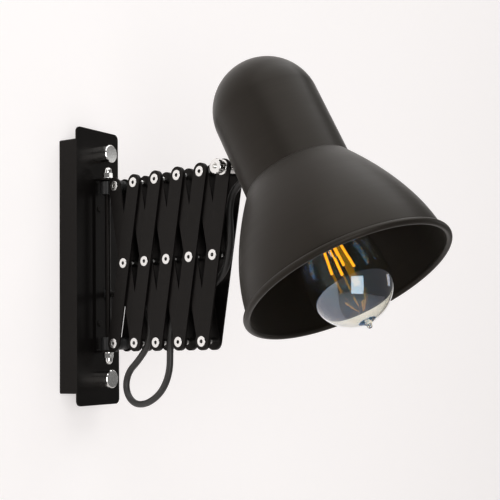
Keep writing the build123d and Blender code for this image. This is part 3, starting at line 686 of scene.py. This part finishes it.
# ------------------------------------------------------------------ the cord
@dataclass
class LampCord:
    """The round black cord, from the plate's bush through the arm to the neck's bush.

    It is cut into stretches at given run lengths. A stretch whose far body is empty rides on
    its near body; each other stretch is left in the lamp's frame with its placement baked in.
    The ends of the hanging loop's bottom run are worked out, but nothing uses them.
    """

    route: list[Triple]
    diameter: float = 0.0058
    sides: int = 20
    step: float = 0.0012
    line_steps: int = 24
    line_order: int = 3
    cap_sharp: float = 60.0
    aside: Triple = (0.3, 0.2, 0.9)
    cuts: tuple[float, ...] = (0.036, 0.072, 0.152, 0.262, 0.298, 0.334, 0.372)
    chain: tuple[tuple[str, str], ...] = (
        ("wall_mount", "carrier"),
        ("carrier", "outer_0"),
        ("outer_0", ""),
        ("outer_0", "inner_1"),
        ("inner_1", "outer_2"),
        ("outer_2", "inner_3"),
        ("inner_3", "outer_4"),
        ("outer_4", "head"),
    )
    loop: tuple[str, str] = ("outer_0", "inner_1")
    loop_run: tuple[Pair, Pair] = ((0.0275, -0.118), (0.071, -0.118))

    def centreline(self) -> np.ndarray:
        """Points along the smooth line that the route's points pull on."""
        curve = bpy.data.curves.new("cord_line", "CURVE")
        curve.dimensions = "3D"
        curve.resolution_u = self.line_steps
        spline = curve.splines.new("NURBS")
        spline.points.add(len(self.route) - 1)
        flat = np.column_stack((np.array(self.route), np.ones(len(self.route))))
        spline.points.foreach_set("co", flat.ravel())
        spline.order_u = self.line_order
        spline.use_endpoint_u = True
        thing = bpy.data.objects.new("cord_line", curve)
        bpy.context.collection.objects.link(thing)
        bpy.context.view_layer.update()
        mesh = bpy.data.meshes.new_from_object(thing)
        points = np.empty(len(mesh.vertices) * 3)
        mesh.vertices.foreach_get("co", points)
        points = points.reshape(-1, 3)
        bpy.data.objects.remove(thing)
        bpy.data.meshes.remove(mesh)
        return points

    def even(self, points: np.ndarray) -> np.ndarray:
        """The same line with points at equal steps, by its running length."""
        run = np.concatenate(([0], np.cumsum(np.linalg.norm(np.diff(points, axis=0), axis=1))))
        steps = np.linspace(0, run[-1], int(round(run[-1] / self.step)) + 1)
        return np.column_stack([np.interp(steps, run, points[:, k]) for k in range(3)])

    def rings(self, line: np.ndarray) -> np.ndarray:
        """Circles square to the line, carried along it without twist.

        The first direction is square to the line's start. At each next point it is the
        last one less its part along the line there, made one long.
        """
        along = np.gradient(line, axis=0)
        along /= np.linalg.norm(along, axis=1)[:, None]
        first = np.cross(along[0], self.aside)
        directions = [first / np.linalg.norm(first)]
        for heading in along[1:]:
            carried = directions[-1] - heading * (directions[-1] @ heading)
            directions.append(carried / np.linalg.norm(carried))
        one = np.array(directions)
        two = np.cross(along, one)
        turn = np.linspace(0, FULL_TURN, self.sides, endpoint=False)
        circle = (
            np.cos(turn)[None, :, None] * one[:, None, :]
            + np.sin(turn)[None, :, None] * two[:, None, :]
        )
        return line[:, None, :] + circle * self.diameter / 2

    def build(self) -> None:
        """Make the cord's stretches."""
        line = self.even(self.centreline())
        rings = self.rings(line)
        ends = [0] + [int(round(cut / self.step)) for cut in self.cuts] + [len(line) - 1]
        for k, (near_body, far_body) in enumerate(self.chain):
            first, last = ends[k], ends[k + 1]
            stretch = line[first : last + 1]
            piece = piece_from_grid(
                f"cord_stretch_{k}",
                rings[first : last + 1],
                Finish.SHEATH,
                sharp=self.cap_sharp,
                caps=True,
            )
            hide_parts("cord")
            turn_from, turn_to = stretch[0], stretch[-1]
            if (near_body, far_body) == self.loop:
                turn_from, turn_to = (ARM.place(*point) for point in self.loop_run)
            if far_body:
                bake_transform(piece)
            else:
                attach(piece, near_body)


def cord_route() -> list[Triple]:
    """The points that pull the cord's line, from the plate to the neck."""
    arm_points = [
        (0.0125, -0.028, -0.0047),
        (0.032, -0.0335, -0.0003),
        (0.050, -0.0395, 0.0006),
        (0.057, -0.055, 0.0004),
        (0.052, -0.073, 0.0),
        (0.038, -0.0865, -0.0003),
        (0.027, -0.095, 0.0),
        (0.0228, -0.107, 0.0002),
        (0.027, -0.118, 0.0003),
        (0.0375, -0.124, 0.0004),
        (0.053, -0.122, 0.0002),
        (0.069, -0.112, 0.0),
        (0.078, -0.096, -0.0002),
        (0.079, -0.078, 0.0),
        (0.0795, -0.0605, 0.0),
        (0.085, -0.045, 0.0),
        (0.098, -0.034, 0.0),
        (0.114, -0.029, 0.0),
        (0.130, -0.025, 0.0),
        (0.1435, -0.0145, 0.0),
        (0.1495, 0.0025, 0.0),
        (0.1505, 0.020, 0.0),
        (0.1493, 0.0375, 0.0),
        (0.155, 0.0545, 0.0),
    ]
    start = [(0.012, -0.013, -0.025), (0.012, -0.031, -0.025)]
    end = [tuple(HEAD.place(-0.0334, 0.1271))]
    return start + [tuple(ARM.place(*point)) for point in arm_points] + end


# ------------------------------------------------------------------ the wall assembly
@dataclass
class WallAssembly:
    """The box on the wall, its plate, nuts, bracket and rod: each finish and edge width."""

    plain: dict[str, tuple[Finish, float]] = field(
        default_factory=lambda: {
            "wall_strip": (Finish.ZINC, 0.0002),
            "plate_studs": (Finish.ZINC, 0.0),
            "wall_box": (Finish.LACQUER, 0.0004),
            "front_plate": (Finish.LACQUER, 0.0004),
            "cap_nuts": (Finish.PLATED, 0.0003),
            "hinge_bracket": (Finish.LACQUER, 0.0003),
            "bracket_rivets": (Finish.LACQUER, 0.0002),
            "swivel_rod": (Finish.LACQUER, 0.0),
            "rod_washers": (Finish.PLATED, 0.0001),
            "dome_nuts": (Finish.PLATED, 0.0002),
            "wall_grommet": (Finish.RUBBER, 0.0003),
            "terminal_block": (Finish.PALE, 0.0003),
            "terminal_tubes": (Finish.BRASS, 0.0),
            "earth_screw": (Finish.BRASS, 0.0002),
        }
    )

    def build(self) -> None:
        """Dress each node of the wall assembly."""
        for node, (finish, edge) in self.plain.items():
            dress_node(node, "wall_mount", finish, edge)
            log.info("%s: %s", node, finish.name.lower())


# ------------------------------------------------------------------ the scissor arm
@dataclass
class ScissorArm:
    """The crossed links, their rivets and the two blocks on the rod."""

    block_edge: float = 0.0003
    link_edge: float = 0.00025
    rivet_edge: float = 0.0002

    def links(self, node: str, body: str) -> None:
        """Dress a pair of links."""
        dress_node(node, body, Finish.LACQUER, self.link_edge)

    def rivets(self, node: str, body: str) -> None:
        """Dress rivets, or another bright fixing of the arm."""
        dress_node(node, body, Finish.PLATED, self.rivet_edge)

    def build(self) -> None:
        """Dress the links, the rivets and the blocks, each on its own body."""
        dress_node("lower_block", "carrier", Finish.NYLON, self.block_edge)
        dress_node("upper_block", "slider", Finish.NYLON, self.block_edge)
        self.rivets("lower_rivet", "outer_0")
        self.rivets("upper_rivet", "inner_0")
        last_cell = ARM.cells - 1
        for cell in range(ARM.cells):
            self.links(f"outer_links_{cell}", f"outer_{cell}")
            self.rivets(f"outer_pivots_{cell}", f"outer_{cell}")
            if cell < last_cell:
                self.links(f"inner_links_{cell}", f"inner_{cell}")
                self.rivets(f"inner_pivots_{cell}", f"inner_{cell}")
            else:
                self.links("half_links", f"inner_{cell}")
            log.info("cell %d: links and rivets", cell)
        self.rivets("tilt_screw", f"outer_{last_cell}")
        self.rivets("tilt_nut", f"outer_{last_cell}")


# ------------------------------------------------------------------ the head
@dataclass
class BellHead:
    """The neck cup with its dome, the bell with its rolled bead, and what holds the bulb."""

    neck_radius: float = 0.0434
    crease: float = 0.0938
    dome_start: float = 0.1596
    rim_radius: float = 0.0797
    rim_height: float = 0.003
    curve: float = 1.75
    wall: float = 0.001
    bead_radius: float = 0.0026
    bead_centre: float = 0.0812
    bead_turn: Pair = (math.radians(140), math.radians(-200))
    lip_inset: float = 0.0012
    lip_lift: float = 0.0005
    bell_steps: int = 60
    bead_steps: int = 28
    dome_steps: int = 40
    fixings: tuple[tuple[str, Finish, float], ...] = (
        ("knuckle", Finish.PLATED, 0.0003),
        ("lock_nut", Finish.PLATED, 0.0003),
        ("saddle_washer", Finish.NYLON, 0.0002),
        ("inner_nut", Finish.ZINC, 0.0002),
        ("holder_strap", Finish.ZINC, 0.0002),
        ("holder_nipple", Finish.ZINC, 0.0),
        ("nipple_nut", Finish.ZINC, 0.0002),
        ("lampholder", Finish.PHENOLIC, 0.0004),
        ("holder_ring", Finish.PHENOLIC, 0.0003),
        ("socket_shell", Finish.PALE, 0.0002),
        ("head_grommet", Finish.RUBBER, 0.0003),
    )

    def bell_radius(self, height: np.ndarray) -> np.ndarray:
        """Radius of the bell's outside at a height above the mouth.

        It is neck + (rim - neck) * (1 - (height / crease) ^ curve): full at the rim, and
        falling faster towards the neck.
        """
        return self.neck_radius + (self.rim_radius - self.neck_radius) * (
            1 - (height / self.crease) ** self.curve
        )

    def dome(self, radius: float, bend: np.ndarray) -> np.ndarray:
        """Half outline of a half-round dome: radius * cos and dome start + radius * sin."""
        return np.column_stack((radius * np.cos(bend), self.dome_start + radius * np.sin(bend)))

    def neck(self) -> None:
        """The neck: a straight wall and a half-round dome, outside and inside in one skin."""
        bend = np.linspace(0, QUARTER_TURN, self.dome_steps)
        inner = self.neck_radius - self.wall
        foot = np.array([(inner, self.crease), (self.neck_radius, self.crease)])
        inside, outside = self.dome(inner, bend), self.dome(self.neck_radius, bend)
        profile = np.vstack((inside[::-1], foot, outside))
        piece = turned("neck_skin", profile, Finish.SPUN, sides=160)
        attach(piece, "head")
        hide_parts("neck_cup")

    def bell(self) -> None:
        """The bell: its outer skin, the rolled bead at its mouth and its inner skin."""
        height = np.linspace(self.crease, self.rim_height, self.bell_steps)
        radius = self.bell_radius(height)
        outer = np.column_stack((radius, height))
        inner = np.column_stack((radius - self.wall, height))[::-1]
        bend = np.linspace(*self.bead_turn, self.bead_steps)
        bead = np.column_stack(
            (
                self.bead_centre + self.bead_radius * np.cos(bend),
                self.bead_radius * np.sin(bend),
            )
        )
        lip = np.array(
            [
                (inner[-1][0] - self.lip_inset, self.crease + self.lip_lift),
                (outer[0][0], self.crease),
            ]
        )
        profile = np.vstack((outer, bead, inner, lip))
        piece = turned("bell_skin", profile, Finish.SPUN, sides=192, sharp=50)
        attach(piece, "head")
        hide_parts("bell_shade")

    def build(self) -> None:
        """Make the skins and dress the fixings."""
        self.neck()
        self.bell()
        for node, finish, edge in self.fixings:
            dress_node(node, "head", finish, edge)
        log.info("head: neck, bell and fixings")


# ------------------------------------------------------------------ the bulb
@dataclass
class PearBulb:
    """The clear pear bulb with its sealed tip, four long filaments on a stem, and its cap."""

    radius: float = 0.032
    tip: float = 0.035
    tip_lift: float = 0.0005
    throat: float = 0.012
    cap_foot: float = 0.079
    wall: float = 0.0007
    shoulder: float = math.radians(12)
    shoulder_power: float = 1.08
    pip_radius: float = 0.0020
    pip_flare: float = 0.0050
    pip_power: float = 2.2
    pip_seat: float = 0.0014
    pip_length: float = 0.0042
    pip_end: float = 0.0018
    round_steps: int = 36
    side_steps: int = 40
    foot_steps: int = 14
    drop_steps: int = 10

    def glass_profile(self, inset: float) -> np.ndarray:
        """Half outline from the tip to the throat.

        The round end is a circle up to the shoulder. From there the radius falls to the
        throat's as half a cosine of the height's share to the power 1.08.

        Args:
            inset: Distance inside the outer skin.

        Returns:
            An array of (radius, height) rows.
        """
        centre = self.radius - self.tip + self.tip_lift
        radius = self.radius - inset
        low = np.linspace(-QUARTER_TURN, self.shoulder, self.round_steps)
        end = np.column_stack((radius * np.cos(low), centre + radius * np.sin(low)))
        start = end[-1]
        rise = np.linspace(0, 1, self.side_steps)[1:]
        share = 0.5 + 0.5 * np.cos(math.pi * rise**self.shoulder_power)
        throat = self.throat - inset
        side = np.column_stack(
            (
                throat + (start[0] - throat) * share,
                start[1] + (self.cap_foot - start[1]) * rise,
            )
        )
        return np.vstack((end, side))

    def glass(self) -> None:
        """The blown glass: outside and inside skins joined at the throat."""
        outer = self.glass_profile(0.0)
        inner = self.glass_profile(self.wall)[::-1]
        profile = np.vstack((outer, inner))
        piece = turned("glass_bulb", profile, Finish.LUSTRE, sides=128, sharp=60)
        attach(piece, "head")
        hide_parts("bulb_glass")

    def tip_pip(self) -> None:
        """The sealed tip at the end of the glass: a small drop on a flared foot.

        The foot's radius is pip radius + flare * (1 - t) ^ 2.2 at a share t of its
        length, and the drop below it is a quarter of an ellipse.
        """
        top_height = self.pip_seat - self.tip
        fall = np.linspace(0, 1, self.foot_steps)
        foot = np.column_stack(
            (
                self.pip_radius + self.pip_flare * (1 - fall) ** self.pip_power,
                top_height - self.pip_length * fall,
            )
        )
        bend = np.linspace(0, QUARTER_TURN, self.drop_steps)[1:]
        drop = np.column_stack(
            (self.pip_radius * np.cos(bend), foot[-1, 1] - self.pip_end * np.sin(bend))
        )
        drop[-1, 0] = 0.0
        top = np.array([(0.0, top_height)])
        profile = np.vstack((top, foot, drop))
        piece = turned("glass_tip", profile, Finish.LUSTRE, sides=40, sharp=80)
        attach(piece, "head")

    def build(self) -> None:
        """Make the glass and dress the rest."""
        self.glass()
        self.tip_pip()
        dress_node("bulb_cap", "head", Finish.BRASS, 0.0002)
        dress_node("bulb_stem", "head", Finish.STEM_GLASS)
        dress_node("filaments", "head", Finish.GLOW)
        log.info("bulb: glass, cap, stem and filaments")


def main() -> None:
    """Build the view and the lamp in order."""
    logging.basicConfig(level=logging.INFO, format="%(message)s")
    Studio().build()
    LampCord(route=cord_route()).build()
    WallAssembly().build()
    ScissorArm().build()
    BellHead().build()
    PearBulb().build()


if __name__ == "__main__":
    main()
